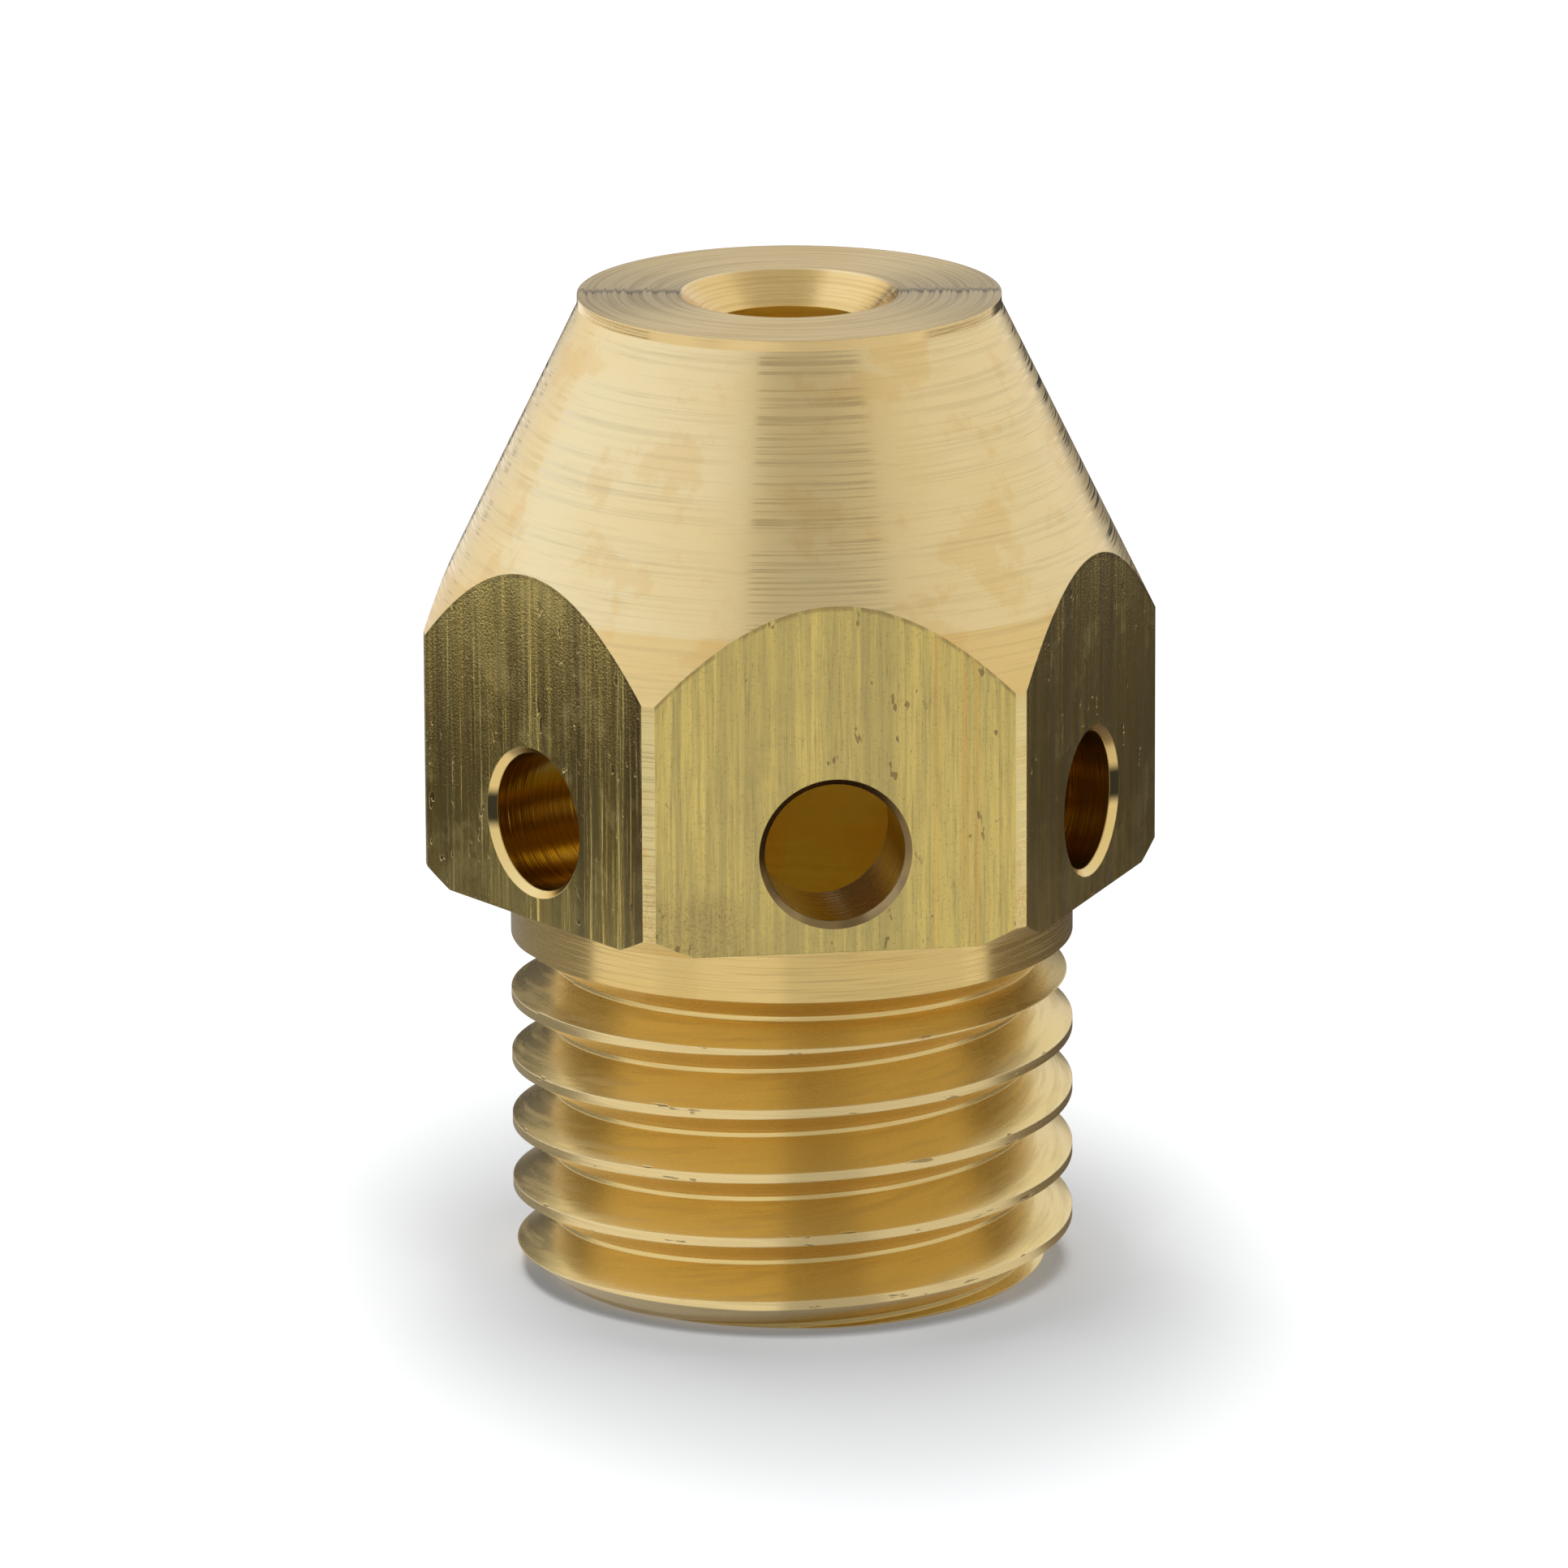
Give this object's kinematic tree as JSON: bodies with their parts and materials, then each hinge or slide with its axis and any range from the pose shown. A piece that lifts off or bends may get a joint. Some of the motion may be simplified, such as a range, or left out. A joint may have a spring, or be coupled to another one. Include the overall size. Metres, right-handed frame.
{
  "type": "tig collet body",
  "caption": "Brass TIG torch collet body: hexagonal head with a conical nose, central electrode bore, radial gas holes and a threaded shank.",
  "frame": {"origin": "centre of the flat threaded end", "axes": "+Z along the axis from the threaded end to the front face; -Y square to the hexagon flat that the picture shows nearest"},
  "size_m": [0.0144, 0.0126, 0.0195],
  "materials": {
    "brass": "machined, with light tarnish"
  },
  "bodies": {
    "root": {"collet_body": "brass"}
  },
  "joints": []
}
